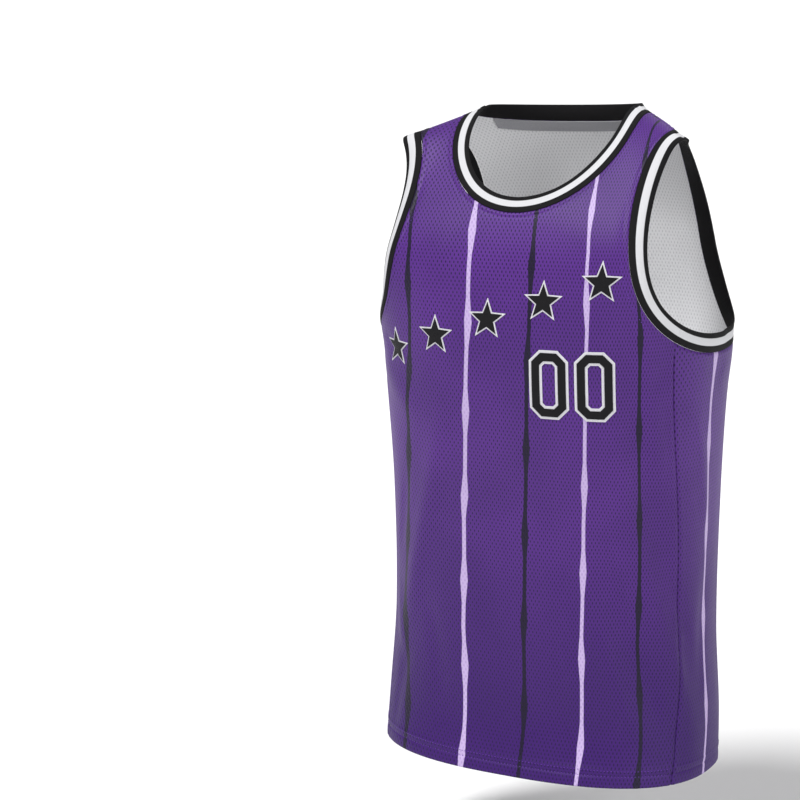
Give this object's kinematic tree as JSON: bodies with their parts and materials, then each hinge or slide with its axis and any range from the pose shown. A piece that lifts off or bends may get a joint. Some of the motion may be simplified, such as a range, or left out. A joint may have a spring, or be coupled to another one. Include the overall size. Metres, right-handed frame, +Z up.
{
  "type": "basketball jersey",
  "caption": "Sleeveless basketball jersey in worn form: hollow loose cloth body with rib bands at a deep round neck and large armholes, side panels and an open hem.",
  "frame": {"origin": "between the shoulders, at the height where the neck edge crosses the shoulder line", "axes": "+Z up along the body, -Y towards the front of the jersey, +X towards the wearer's left"},
  "size_m": [0.4094, 0.2879, 0.7723],
  "materials": {
    "mesh_cloth": "polyester mesh knit, soft sheen",
    "rib_knit": "black rib knit, matte",
    "neck_tape": "woven tape, matte"
  },
  "bodies": {
    "root": {"front_panel": "mesh_cloth", "back_panel": "mesh_cloth", "side_panel_left": "mesh_cloth", "side_panel_right": "mesh_cloth", "neck_band": "rib_knit", "armhole_band_left": "rib_knit", "armhole_band_right": "rib_knit", "back_neck_tape": "neck_tape"}
  },
  "joints": []
}
